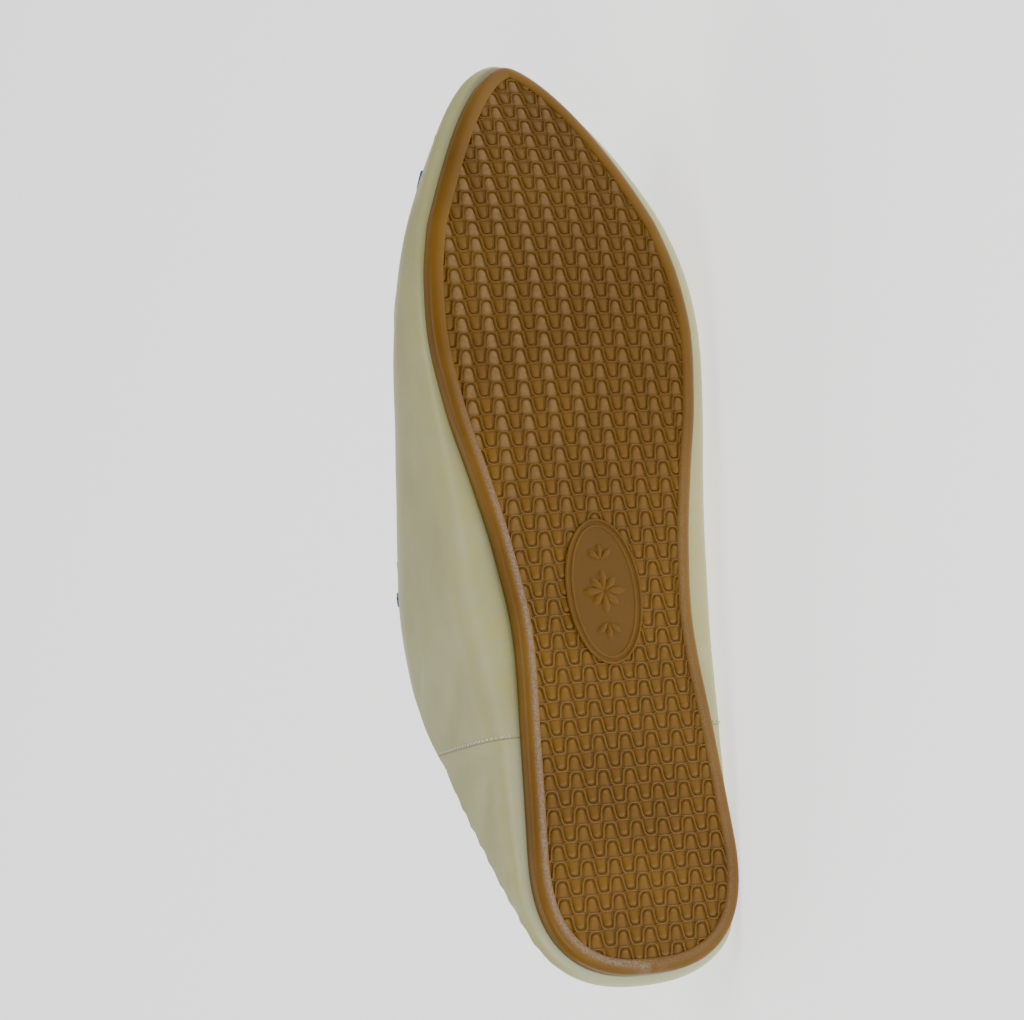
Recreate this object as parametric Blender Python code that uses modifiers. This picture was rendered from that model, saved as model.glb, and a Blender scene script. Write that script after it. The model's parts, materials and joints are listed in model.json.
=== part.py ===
"""Babouche slipper lying on its side: moulded rubber outsole, soft leather upper, insole.

The shoe is worked out in its own upright frame and then laid down by the parent empty.
Upright frame: X to the wearer's right, Y from the heel to the toe, Z up from the tread.
"""
import math

import bmesh
import bpy
import numpy as np
from mathutils import Matrix, Vector

MM = 0.001

# ---- driving dimensions, metres -------------------------------------------------------
SHOE_LENGTH = 0.248       # end to end of the outsole
BALL_HALF = 0.0375        # half of the outsole's width at the ball
SOLE_THICK = 0.0045       # outsole's edge, top to bottom
SOLE_CROWN = 0.0018       # how far the ball's edges stand above the middle of the tread
EDGE_ROUND = 0.0012       # rounding of the outsole's lower edge
RIM_WIDTH = 0.0046        # smooth raised border round the tread
TREAD_DEPTH = 0.0009      # depth of the tread field inside the border
TREAD_WALL = 0.0004       # slope of the step from border to field
SPRING_START = 0.166      # where the forefoot begins to curve up
SPRING_CURVE = 4.8        # curvature of the toe spring, 1/m
HEEL_LIFT_START = 0.060   # behind this the heel rises a little
HEEL_LIFT_CURVE = 0.9     # 1/m
LEATHER = 0.0016          # wall of the upper with its lining
FEATHER_INSET = 0.0010    # the leather meets the sole this far inside its edge
GAP = 0.0003              # clearance between pieces that touch
INSOLE_THICK = 0.0024
INSOLE_INSET = 0.0034     # insole's edge, measured in from the outsole's edge
SEAM_AT = 0.061           # side seam of vamp and back, at the sole
THROAT_AT = 0.086         # rear edge of the vamp's top, at the sole
LAP_STEP = 0.0006         # the vamp laps over the back piece at the side seam
FOLD_RADIUS = 0.0021      # outer radius of the fold along the trodden-down back
THROAT_ROUND = 1.8        # power that rounds the vamp's sections in plan, 1 is a straight V
OVAL_AT = 0.0965          # centre of the plain oval pad in the waist of the tread
OVAL_HALF_LENGTH = 0.0185
OVAL_HALF_WIDTH = 0.0100
OVAL_PROUD = 0.0005       # the pad stands this far above the tread field

# How the shoe rests on its left side: roll about its length and rise towards the toe.
REST_ROLL = math.radians(-1.0)
REST_RISE = 0.118
REST_SOFTNESS = 0.0006
LEAN = 0.0022             # the crown of the vamp is pushed over by the floor
OVER_BY = 0.007           # height above the sole where a section's sideways move is full

# Outsole: distance from the heel and half width, as shares of SHOE_LENGTH and BALL_HALF.
#             along  half
SOLE_PLAN = ((0.120, 0.763),
             (0.240, 0.712),
             (0.352, 0.667),
             (0.440, 0.726),
             (0.520, 0.828),
             (0.600, 0.944),
             (0.680, 1.000),
             (0.740, 0.968),
             (0.800, 0.880))
HEEL_POWER = 2.5          # superellipse of the round heel end
TOE_POWER = 0.62          # the pointed toe narrows with this power of the distance

# Upper, one row for each section, millimetres above the tread; the station is where the
# section leaves the sole, bulge is how far the leather overhangs the sole's edge, and over
# is how far the section has moved towards the floor.
#             station bulge widest crown fullness over
UPPER_ROWS = ((0.0,    0.6,   8.0,  74.0, 2.2, 1.0),
              (12.0,   2.2,   9.0,  76.0, 2.3, 1.6),
              (30.0,   5.0,  11.5,  79.0, 2.6, 1.8),
              (45.0,   6.2,  13.0,  80.0, 2.9, 1.6),
              (61.0,   7.2,  14.5,  80.5, 3.0, 1.6),
              (80.0,  10.0,  16.0,  80.5, 3.0, 1.2),
              (98.0,  11.2,  16.5,  78.5, 3.0, 1.0),
              (115.0,  9.6,  16.0,  75.5, 2.9, 1.4),
              (135.0,  7.2,  15.5,  69.5, 2.6, 2.2),
              (157.0,  5.2,  14.5,  60.5, 2.3, 3.2),
              (180.0,  4.8,  13.5,  50.0, 2.1, 3.4),
              (205.0,  4.9,  12.5,  38.5, 2.0, 3.4),
              (225.0,  4.4,  11.5,  28.5, 2.0, 3.0),
              (237.0,  3.4,  10.0,  21.5, 2.0, 2.0),
              (244.0,  2.8,   9.0,  15.5, 2.0, 1.2),
              (248.0,  2.2,   8.0,   9.5, 2.0, 0.6))

# Where each section's top lies along the crown line.
#              station crown_at
CROWN_ROWS = ((0.0,    40.0),
              (45.0,   62.0),
              (86.0,  108.0),
              (170.0, 176.0),
              (225.0, 223.5),
              (240.0, 238.5),
              (248.0, 249.3))

# Height of the top line above the tread: fold of the back, side seam, up to the throat.
#            station height
TOP_LINE = ((0.0,   10.2),
            (12.0,  10.8),
            (22.0,  13.6),
            (32.0,  20.0),
            (45.0,  30.5),
            (61.0,  44.0),
            (70.0,  53.5),
            (78.0,  60.5),
            (86.0,  64.5))

# The folded back on the centre line, from the heel to its free edge.
#              along height
FLAP_ROWS = ((3.5,  10.4),
             (14.0,  9.7),
             (40.0,  9.5),
             (57.0, 10.6))


def smooth_table(rows, column, at):
    """Value of one column of a table, on a smooth curve through its rows."""
    xs = [row[0] for row in rows]
    ys = [row[column] for row in rows]
    slopes = [(ys[1] - ys[0]) / (xs[1] - xs[0])]
    for k in range(1, len(xs) - 1):
        before = (ys[k] - ys[k - 1]) / (xs[k] - xs[k - 1])
        after = (ys[k + 1] - ys[k]) / (xs[k + 1] - xs[k])
        slopes.append(0.0 if before * after <= 0 else 2 * before * after / (before + after))
    slopes.append((ys[-1] - ys[-2]) / (xs[-1] - xs[-2]))
    at = min(max(at, xs[0]), xs[-1])
    k = max(i for i in range(len(xs) - 1) if at >= xs[i])
    width = xs[k + 1] - xs[k]
    t = (at - xs[k]) / width
    return ((2 * t**3 - 3 * t**2 + 1) * ys[k] + (t**3 - 2 * t**2 + t) * width * slopes[k]
            + (3 * t**2 - 2 * t**3) * ys[k + 1] + (t**3 - t**2) * width * slopes[k + 1])


def sole_half_width(along):
    """Half width of the outsole at a distance from the heel."""
    heel_at, heel_half = SOLE_PLAN[0]
    toe_at, toe_half = SOLE_PLAN[-1]
    share = along / SHOE_LENGTH
    if share < heel_at:
        reach = max(1 - ((heel_at - share) / heel_at)**HEEL_POWER, 0)
        return BALL_HALF * heel_half * reach**(1 / HEEL_POWER)
    if share > toe_at:
        return BALL_HALF * toe_half * (max(1 - share, 0) / (1 - toe_at))**TOE_POWER
    return BALL_HALF * smooth_table(SOLE_PLAN, 1, share)


def tread_height(x, y):
    """Height of the outsole's lower side: toe spring, a slight heel lift, a slight crown."""
    spring = SPRING_CURVE / 2 * max(y - SPRING_START, 0)**2
    lift = HEEL_LIFT_CURVE / 2 * max(HEEL_LIFT_START - y, 0)**2
    return spring + lift + SOLE_CROWN * (x / BALL_HALF)**2


def stations(count, extra=()):
    """Distances from heel to toe, close together at both ends, with some placed exactly."""
    even = [SHOE_LENGTH * (1 - math.cos(math.pi * k / count)) / 2 for k in range(count + 1)]
    for wanted in extra:
        nearest = min(range(1, count), key=lambda k: abs(even[k] - wanted))
        even[nearest] = wanted
    return sorted(even)


def outline_normal(along):
    """Outward normal of the outsole's outline on the +X side."""
    step = 0.0002
    if along <= step:
        return Vector((0, -1, 0))
    if along >= SHOE_LENGTH - step:
        return Vector((0, 1, 0))
    dx = sole_half_width(along + step) - sole_half_width(along - step)
    return Vector((2 * step, -dx, 0)).normalized()


def inset_line(inset):
    """Half outline moved inwards: matching lists of distances from the heel and half widths."""
    lengths, halves = [inset], [0.0]
    for along in np.linspace(0, SHOE_LENGTH, 1200)[1:]:
        place = Vector((sole_half_width(along), along, 0)) - outline_normal(along) * inset
        if place.x <= 0:
            if along > SHOE_LENGTH / 2:
                break
        elif place.y > lengths[-1]:
            lengths.append(place.y)
            halves.append(place.x)
    lengths.append(lengths[-1] + min(halves[-1], inset / 4))
    halves.append(0.0)
    return lengths, halves


INSET_LINES = {}


def outline_point(along, inset):
    """Point of the outline moved inwards, at the same share of its length, on the +X side."""
    if inset == 0:
        return Vector((sole_half_width(along), along, 0))
    if inset not in INSET_LINES:
        INSET_LINES[inset] = inset_line(inset)
    lengths, halves = INSET_LINES[inset]
    y = lengths[0] + (lengths[-1] - lengths[0]) * along / SHOE_LENGTH
    return Vector((float(np.interp(y, lengths, halves)), y, 0))


def mirrored(bm):
    """Complete a half made on the +X side, welding it along the middle."""
    geometry = bm.verts[:] + bm.edges[:] + bm.faces[:]
    copied = bmesh.ops.duplicate(bm, geom=geometry)["geom"]
    copies = [item for item in copied if isinstance(item, bmesh.types.BMVert)]
    faces = [item for item in copied if isinstance(item, bmesh.types.BMFace)]
    for vertex in copies:
        vertex.co.x = -vertex.co.x
    bmesh.ops.reverse_faces(bm, faces=faces)
    bmesh.ops.remove_doubles(bm, verts=bm.verts[:], dist=0.00002)


def strip(bm, first, second):
    """Quads between two rows of vertices, without the faces that have no area."""
    for a, b, c, d in zip(first, first[1:], second[1:], second):
        ring = []
        for vertex in (a, b, c, d):
            if all((vertex.co - other.co).length > 1e-6 for other in ring):
                ring.append(vertex)
        if len(ring) > 2:
            bm.faces.new(ring)


def material(name, colour, roughness):
    made = bpy.data.materials.new(name)
    made.use_nodes = True
    shader = made.node_tree.nodes["Principled BSDF"]
    shader.inputs["Base Color"].default_value = (*colour, 1)
    shader.inputs["Roughness"].default_value = roughness
    shader.inputs["Metallic"].default_value = 0
    return made


def add_object(name, bm, collection, parent, finish):
    mesh = bpy.data.meshes.new(name)
    bmesh.ops.recalc_face_normals(bm, faces=bm.faces[:])
    bm.to_mesh(mesh)
    bm.free()
    mesh.shade_smooth()
    mesh.materials.append(finish)
    made = bpy.data.objects.new(name, mesh)
    collection.objects.link(made)
    made.parent = parent
    return made


# ---- the floor side, in the shoe's own frame ------------------------------------------
FLOOR_NORMAL = Vector((-1, -REST_RISE, -math.tan(REST_ROLL))).normalized()


def floor_level():
    """Where the floor touches the outsole's edge, along the floor's normal."""
    reach = []
    for along in np.linspace(0, SHOE_LENGTH, 400):
        half = sole_half_width(along)
        edge = Vector((-half, along, tread_height(half, along) + EDGE_ROUND))
        reach.append(FLOOR_NORMAL.dot(edge))
    return max(reach)


def settling(point, level):
    """Move of soft leather pushed over by its weight and pressed flat where it meets the floor."""
    share = min(max(point.z / (80 * MM), 0), 1)
    above_sole = point.z - tread_height(0, point.y) - SOLE_THICK - GAP
    over = smooth_table(UPPER_ROWS, 5, point.y / MM) * MM * min(max(above_sole / OVER_BY, 0), 1)
    move = Vector((LEAN * share**2 - over, 0, 0))
    beyond = FLOOR_NORMAL.dot(point + move) - level
    if beyond > -8 * REST_SOFTNESS:
        pressed = -REST_SOFTNESS * math.log1p(math.exp(-beyond / REST_SOFTNESS))
        move = move + FLOOR_NORMAL * (pressed - beyond)
    return move


# ---- outsole --------------------------------------------------------------------------
def sole_ring(along, inset, height):
    """Point on a ring round the outsole, a height above or below its lower side."""
    point = outline_point(along, inset)
    point.z = tread_height(point.x, point.y) + height
    return point


def closed_floor(bm, row, height, across):
    """Fill between a ring's half and the middle line, following the tread's shape."""
    rows = [row]
    for k in range(1, across + 1):
        inner = []
        for vertex in row:
            x = vertex.co.x * (1 - k / across)
            inner.append(bm.verts.new((x, vertex.co.y, tread_height(x, vertex.co.y) + height)))
        rows.append(inner)
    for first, second in zip(rows, rows[1:]):
        strip(bm, first, second)


def make_outsole(collection, parent):
    """Moulded unit: flat top, upright edge, rounded foot, smooth border, sunk tread field."""
    bm = bmesh.new()
    ys = stations(44)
    field = RIM_WIDTH + TREAD_WALL
    corner = EDGE_ROUND * (1 - math.cos(math.pi / 4))
    rings = ((0.0, SOLE_THICK), (0.0, EDGE_ROUND), (corner, corner), (EDGE_ROUND, 0.0),
             (RIM_WIDTH, 0.0), (field, TREAD_DEPTH))
    rows = []
    for inset, height in rings:
        rows.append([bm.verts.new(sole_ring(y, inset, height)) for y in ys])
    for first, second in zip(rows, rows[1:]):
        strip(bm, first, second)
    closed_floor(bm, rows[0], SOLE_THICK, 3)
    closed_floor(bm, rows[-1], TREAD_DEPTH, 3)
    mirrored(bm)
    finish = material("caramel_rubber", (0.262, 0.113, 0.028), 0.42)
    sole = add_object("outsole", bm, collection, parent, finish)

    # The oval pad is a flat disc moulded with the tread field.
    pad = bmesh.new()
    bmesh.ops.create_cone(pad, cap_ends=True, segments=40, radius1=1, radius2=1, depth=1)
    deep = 0.0012
    face = tread_height(0, OVAL_AT) + TREAD_DEPTH - OVAL_PROUD
    for vertex in pad.verts:
        vertex.co.x *= OVAL_HALF_WIDTH
        vertex.co.y = vertex.co.y * OVAL_HALF_LENGTH + OVAL_AT
        vertex.co.z = face + (vertex.co.z + 0.5) * deep
    return sole, pad


def joined(sole, pad_bm, cutters, parent):
    """Mould the pad into the outsole."""
    mesh = bpy.data.meshes.new("oval_pad")
    pad_bm.to_mesh(mesh)
    pad_bm.free()
    pad = bpy.data.objects.new("oval_pad", mesh)
    cutters.objects.link(pad)
    pad.parent = parent
    pad.hide_render = True
    pad.display_type = "WIRE"
    union = sole.modifiers.new("oval_pad", "BOOLEAN")
    union.operation = "UNION"
    union.solver = "EXACT"
    union.object = pad


# ---- upper ----------------------------------------------------------------------------
def section(along):
    """Sizes of the upper's section that leaves the sole at this distance from the heel."""
    at = along / MM
    bulge, widest, crown, fullness = [smooth_table(UPPER_ROWS, k, at) for k in (1, 2, 3, 4)]
    lap = LAP_STEP if along >= SEAM_AT else 0
    crown_at = smooth_table(CROWN_ROWS, 1, at) * MM
    return bulge * MM + lap, widest * MM, crown * MM, fullness, crown_at


def wall_column(along, top, low_rows=4, high_rows=9):
    """Points of one section from the sole up to a height, or to the crown if top is None."""
    foot = outline_point(along, FEATHER_INSET)
    normal = outline_normal(along)
    bulge, widest, crown, fullness, crown_at = section(along)
    ground = tread_height(foot.x, foot.y)
    edge = outline_point(along, 0)
    start = SOLE_THICK + GAP
    points = []
    for k in range(low_rows):
        turn = math.pi / 2 * k / low_rows
        out = foot + (edge + normal * bulge - foot) * math.sin(turn)**0.8
        height = ground + start + (widest - start) * (1 - math.cos(turn)**1.3)
        points.append(Vector((out.x, out.y, height)))
    wide = edge + normal * bulge
    summit = Vector((0, crown_at, 0))
    summit_ground = tread_height(0, crown_at)
    turn_end = math.pi / 2
    if top is not None:
        rise = (top - widest) / (crown - widest)
        turn_end = math.asin(min(max(rise, 0.02), 1)**(fullness / 2))
    towards_vamp = min(max((along - SEAM_AT) / (THROAT_AT - SEAM_AT), 0), 1)
    power = 1 + (THROAT_ROUND - 1) * towards_vamp**2 * (3 - 2 * towards_vamp)
    for k in range(high_rows + 1):
        turn = turn_end * k / high_rows
        share = math.cos(turn)**(2 / fullness) if turn < math.pi / 2 - 1e-9 else 0.0
        place = Vector((wide.x * share, summit.y + (wide.y - summit.y) * share**power, 0))
        climb = math.sin(turn)**(2 / fullness)
        base = ground + (summit_ground - ground) * (1 - share)
        points.append(Vector((place.x, place.y, base + widest + (crown - widest) * climb)))
    return points


def flap_column(along, fold_points):
    """The trodden-down back: over the fold and down to the seat on the centre line."""
    top = fold_points[-1]
    share = along / SEAM_AT
    middle_at = (FLAP_ROWS[0][0] + (FLAP_ROWS[-1][0] - FLAP_ROWS[0][0]) * share) * MM
    middle = Vector((0, middle_at, smooth_table(FLAP_ROWS, 1, middle_at / MM) * MM))
    middle.z += tread_height(0, middle_at)
    inward = Vector((middle.x - top.x, middle.y - top.y, 0))
    reach = inward.length
    inward = inward.normalized()
    radius = FOLD_RADIUS
    points = []
    for k in range(1, 5):
        turn = math.pi * 0.72 * k / 4
        points.append(top + inward * radius * (1 - math.cos(turn))
                      + Vector((0, 0, radius * math.sin(turn))))
    last = points[-1]
    run = reach - (last - top).dot(inward)
    steep = 2.0 + 2.4 * min(max((last.z - middle.z) / (30 * MM), 0), 1)
    rows = 9
    for k in range(1, rows + 1):
        t = k / rows
        t = t**1.25
        place = last + inward * run * t
        place.z = middle.z + (last.z - middle.z) * (1 - t)**steep
        points.append(place)
    points[-1] = middle
    held = [1.0] * 4 + [1 - k / rows for k in range(1, rows + 1)]
    return points, held


def make_upper(collection, parent, level):
    """One soft shell: closed vamp over the toes, open throat, low sides, back folded in."""
    bm = bmesh.new()
    lap_gap = 0.0005
    ys = stations(42, extra=(SEAM_AT, THROAT_AT))
    seam = ys.index(SEAM_AT)
    ys.insert(seam, SEAM_AT - lap_gap)
    columns = []
    for y in ys:
        if y < THROAT_AT - 1e-9:
            column = wall_column(y, smooth_table(TOP_LINE, 1, y / MM) * MM)
        else:
            column = wall_column(y, None, high_rows=18)
        columns.append(column)
    # Vamp columns have rows up to the throat's corner and as many again up to the crown,
    # so that the low sides continue their lower half row by row.
    corner_rows = len(columns[0])
    anchor = bm.verts.layers.float_vector.new("anchor")
    share = bm.verts.layers.float.new("share")
    rows = []
    for column in columns:
        row = [bm.verts.new(p) for p in column]
        for vertex in row:
            vertex[anchor] = vertex.co
            vertex[share] = 1
        rows.append(row)
    for y, first, second in zip(ys, rows, rows[1:]):
        if y < THROAT_AT - 1e-9:
            strip(bm, first, second[:corner_rows])
        else:
            strip(bm, first, second)
    # The folded back hangs on the top row of the columns behind the side seam. It settles
    # with the fold it hangs on, less and less towards the middle of the seat.
    flap_rows = []
    for y, column, row in zip(ys, columns, rows):
        if y > SEAM_AT - lap_gap / 2:
            break
        points, held = flap_column(y, column)
        flap = [row[-1]]
        for point, part in zip(points, held):
            vertex = bm.verts.new(point)
            vertex[anchor] = row[-1].co
            vertex[share] = part
            flap.append(vertex)
        flap_rows.append(flap)
    for first, second in zip(flap_rows, flap_rows[1:]):
        strip(bm, first, second)
    mirrored(bm)
    bmesh.ops.recalc_face_normals(bm, faces=bm.faces[:])
    for vertex in bm.verts:
        hold = vertex[anchor].copy()
        hold.x = math.copysign(hold.x, vertex.co.x)
        vertex.co += settling(hold, level) * vertex[share]
    finish = material("cream_leather", (0.552, 0.514, 0.332), 0.45)
    upper = add_object("upper", bm, collection, parent, finish)
    wall = upper.modifiers.new("leather", "SOLIDIFY")
    wall.thickness = LEATHER
    wall.offset = -1
    wall.use_even_offset = False
    return upper


# ---- insole ---------------------------------------------------------------------------
def make_insole(collection, parent):
    """Flat padded sock that lies on the outsole inside the lasted edge."""
    bm = bmesh.new()
    ys = stations(30)
    low = SOLE_THICK + GAP
    rows = []
    for height in (low, low + INSOLE_THICK):
        rows.append([bm.verts.new(sole_ring(y, INSOLE_INSET, height)) for y in ys])
    strip(bm, rows[0], rows[1])
    closed_floor(bm, rows[0], low, 3)
    closed_floor(bm, rows[1], low + INSOLE_THICK, 3)
    mirrored(bm)
    finish = material("tan_sock", (0.43, 0.36, 0.22), 0.6)
    return add_object("insole", bm, collection, parent, finish)


# ---- assembly -------------------------------------------------------------------------
def lay_down(shoe, pieces):
    """Turn the shoe onto its left side, toe to +Y and sole to +X, over the origin."""
    up = -FLOOR_NORMAL
    sole_side = Vector((0, 0, -1))
    facing = (sole_side - up * sole_side.dot(up)).normalized()
    forward = up.cross(facing)
    turn = Matrix((facing, forward, up))
    shoe.rotation_mode = "QUATERNION"
    shoe.rotation_quaternion = turn.to_quaternion()
    shoe.location = (0, 0, 0)
    bpy.context.view_layer.update()
    graph = bpy.context.evaluated_depsgraph_get()
    corners = []
    for piece in pieces:
        ready = piece.evaluated_get(graph)
        mesh = ready.to_mesh()
        corners += [ready.matrix_world @ v.co for v in mesh.vertices]
        ready.to_mesh_clear()
    low = [min(c[k] for c in corners) for k in range(3)]
    high = [max(c[k] for c in corners) for k in range(3)]
    shoe.location = (-(low[0] + high[0]) / 2, -(low[1] + high[1]) / 2, -low[2])
    bpy.context.view_layer.update()


def build():
    for old in list(bpy.data.objects):
        bpy.data.objects.remove(old, do_unlink=True)
    slipper = bpy.data.collections.new("babouche_slipper")
    cutters = bpy.data.collections.new("cutters")
    bpy.context.scene.collection.children.link(slipper)
    bpy.context.scene.collection.children.link(cutters)
    shoe = bpy.data.objects.new("shoe_frame", None)
    slipper.objects.link(shoe)
    level = floor_level()
    sole, pad = make_outsole(slipper, shoe)
    joined(sole, pad, cutters, shoe)
    upper = make_upper(slipper, shoe, level)
    insole = make_insole(slipper, shoe)
    lay_down(shoe, (sole, upper, insole))


build()
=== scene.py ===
"""Babouche slipper lying on its side: embroidered cream leather upper on a moulded rubber sole."""
import json
import math

import bmesh
import bpy
import numpy as np
from mathutils import Matrix, Vector
from mathutils.bvhtree import BVHTree


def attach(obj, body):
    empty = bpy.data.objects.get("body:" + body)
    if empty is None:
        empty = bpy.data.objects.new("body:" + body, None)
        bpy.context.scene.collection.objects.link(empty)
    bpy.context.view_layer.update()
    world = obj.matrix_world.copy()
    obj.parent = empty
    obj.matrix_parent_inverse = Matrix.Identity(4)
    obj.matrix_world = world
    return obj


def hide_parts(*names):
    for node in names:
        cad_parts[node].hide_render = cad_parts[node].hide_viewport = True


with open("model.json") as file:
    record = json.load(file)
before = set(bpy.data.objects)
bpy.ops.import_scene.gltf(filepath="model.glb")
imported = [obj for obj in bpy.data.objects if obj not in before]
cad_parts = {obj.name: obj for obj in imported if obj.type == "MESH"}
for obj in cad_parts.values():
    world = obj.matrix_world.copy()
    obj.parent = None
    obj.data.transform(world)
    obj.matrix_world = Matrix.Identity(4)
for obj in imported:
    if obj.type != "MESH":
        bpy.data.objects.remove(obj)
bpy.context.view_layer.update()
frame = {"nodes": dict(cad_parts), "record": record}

# ---- how the slipper lies ------------------------------------------
# Every piece is worked out on the standing slipper: X to the wearer's right, Y from the
# heel to the toe, Z up from the tread. It lies on its left side, with the toe a little
# raised, and the oval pad under the waist fixes where that is.
MM = 0.001
REST_ROLL = math.radians(-1.0)
REST_RISE = 0.118
OVAL_AT = 96.5 * MM
PAD_FACE = 0.4 * MM
upward = Vector((1, REST_RISE, math.tan(REST_ROLL))).normalized()
sole_side = Vector((0, 0, -1))
facing = (sole_side - upward * sole_side.dot(upward)).normalized()
lying = Matrix((facing, upward.cross(facing), upward))
pad_place = Vector(frame["record"]["mounts"][0]["pos_m"])
shoe = Matrix.Translation(pad_place - lying @ Vector((0, OVAL_AT, PAD_FACE))) @ lying.to_4x4()
standing = shoe.inverted()

# ---- camera --------------------------------------------------------
# A long lens looks at the tread from the wearer's right, a little from the heel, with the
# toe at the top of the frame.
LENS = 101.4
CAMERA_ROLL = math.radians(7.5)
EYE = Vector((0.3218, -0.0343, -0.6535))
AIM = Vector((0.0187, 0.1220, 0.0093))


def put_in_scene(name, data):
    """New object of a camera, a lamp or a mesh, in the scene."""
    made = bpy.data.objects.new(name, data)
    bpy.context.scene.collection.objects.link(made)
    return made


eye = shoe @ EYE
ahead = (shoe @ AIM - eye).normalized()
toe_way = lying @ Vector((0, 1, 0))
across_view = Matrix.Rotation(CAMERA_ROLL, 3, ahead) @ ahead.cross(toe_way).normalized()
up_view = across_view.cross(ahead)
view_turn = Matrix((across_view, up_view, -ahead)).transposed()
camera_data = bpy.data.cameras.new("view")
camera_data.lens = LENS
camera_data.sensor_width = 36
camera_data.clip_start = 0.01
camera = put_in_scene("view", camera_data)
camera.matrix_world = Matrix.Translation(eye) @ view_turn.to_4x4()
bpy.context.scene.camera = camera

# ---- outsole -------------------------------------------------------
# One moulding of caramel rubber, glued under the upper. Its rim is smooth and rounded, and
# inside the rim lies a sunk field that carries the tread.
SHOE_LENGTH = 248 * MM
BALL_HALF = 37.5 * MM
SOLE_THICK = 4.5 * MM
SOLE_CROWN = 1.8 * MM
SPRING_START = 166 * MM
SPRING_CURVE = 4.8
HEEL_LIFT_START = 60 * MM
HEEL_LIFT_CURVE = 0.9
RIM_WIDTH = 4.0 * MM
RIM_ROUND = 2.2 * MM
RIM_CORNER = 1.5 * MM
RIM_LIP = 0.55 * MM
WALL_FOOT = 3.0 * MM
FIELD_STEP = 0.1 * MM
FIELD_DEPTH = 1.0 * MM
HEEL_POWER = 2.5
TOE_POWER = 0.62
#             along  half, as shares of the length and of the ball's half width
SOLE_PLAN = ((0.120, 0.763),
             (0.240, 0.712),
             (0.352, 0.667),
             (0.440, 0.726),
             (0.520, 0.828),
             (0.600, 0.944),
             (0.680, 1.000),
             (0.740, 0.968),
             (0.800, 0.880))


def clamp(value, low=0, high=1):
    """Value kept between two ends."""
    return min(max(value, low), high)


def ramp(value, start, end):
    """0 up to start, 1 from end on, and in between the share of the way; end may lie before start."""
    return clamp((value - start) / (end - start))


def smooth_table(rows, at):
    """Second column of a table at a place in its first, on a smooth curve through the rows."""
    xs = [row[0] for row in rows]
    ys = [row[1] for row in rows]
    slopes = [(ys[1] - ys[0]) / (xs[1] - xs[0])]
    for k in range(1, len(xs) - 1):
        before = (ys[k] - ys[k - 1]) / (xs[k] - xs[k - 1])
        after = (ys[k + 1] - ys[k]) / (xs[k + 1] - xs[k])
        slopes.append(0.0 if before * after <= 0 else 2 * before * after / (before + after))
    slopes.append((ys[-1] - ys[-2]) / (xs[-1] - xs[-2]))
    at = clamp(at, xs[0], xs[-1])
    k = max(i for i in range(len(xs) - 1) if at >= xs[i])
    width = xs[k + 1] - xs[k]
    t = (at - xs[k]) / width
    return ((2 * t**3 - 3 * t**2 + 1) * ys[k] + (t**3 - 2 * t**2 + t) * width * slopes[k]
            + (3 * t**2 - 2 * t**3) * ys[k + 1] + (t**3 - t**2) * width * slopes[k + 1])


def sole_half_width(along):
    """Half width of the outsole at a distance from the heel."""
    heel_at, heel_half = SOLE_PLAN[0]
    toe_at, toe_half = SOLE_PLAN[-1]
    share = along / SHOE_LENGTH
    if share < heel_at:
        reach = max(1 - ((heel_at - share) / heel_at)**HEEL_POWER, 0)
        return BALL_HALF * heel_half * reach**(1 / HEEL_POWER)
    if share > toe_at:
        return BALL_HALF * toe_half * (max(1 - share, 0) / (1 - toe_at))**TOE_POWER
    return BALL_HALF * smooth_table(SOLE_PLAN, share)


def tread_height(x, y):
    """Height of the outsole's lower side: toe spring, heel lift and crown."""
    spring = SPRING_CURVE / 2 * max(y - SPRING_START, 0)**2
    lift = HEEL_LIFT_CURVE / 2 * max(HEEL_LIFT_START - y, 0)**2
    return spring + lift + SOLE_CROWN * (x / BALL_HALF)**2


def inset_line(inset):
    """Half outline moved inwards: matching lists of distances from the heel and half widths."""
    lengths, halves = [inset], [0.0]
    step = 0.2 * MM
    for along in np.linspace(step, SHOE_LENGTH - step, 1200):
        slope = (sole_half_width(along + step) - sole_half_width(along - step)) / (2 * step)
        size = math.hypot(1, slope)
        y = along + slope * inset / size
        x = sole_half_width(along) - inset / size
        if x <= 0 and along > SHOE_LENGTH / 2:
            break
        if x > 0 and y > lengths[-1]:
            lengths.append(y)
            halves.append(x)
    lengths.append(lengths[-1] + min(halves[-1], inset / 4 + 1e-5))
    halves.append(0.0)
    return lengths, halves


inset_lines = {}


def outline_point(along, inset):
    """(half width, distance from the heel) of the outline moved inwards."""
    if inset == 0:
        return sole_half_width(along), along
    if inset not in inset_lines:
        inset_lines[inset] = inset_line(inset)
    lengths, halves = inset_lines[inset]
    y = lengths[0] + (lengths[-1] - lengths[0]) * along / SHOE_LENGTH
    return float(np.interp(y, lengths, halves)), y


def join_rows(bm, rows, flip=False):
    """Four-sided faces between neighbouring rows of points, turned over where flip is set."""
    for first, second in zip(rows, rows[1:]):
        for quad in zip(first, first[1:], second[1:], second):
            bm.faces.new(reversed(quad) if flip else quad)


def mesh_of(name, bm):
    """Mesh written from a bmesh, which is freed."""
    mesh = bpy.data.meshes.new(name)
    bm.to_mesh(mesh)
    bm.free()
    return mesh


def laid_down(name, bm):
    """Finished mesh object of a piece worked out on the standing slipper."""
    bm.transform(shoe)
    made = put_in_scene(name, mesh_of(name, bm))
    made.data.shade_smooth()
    return made


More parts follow.
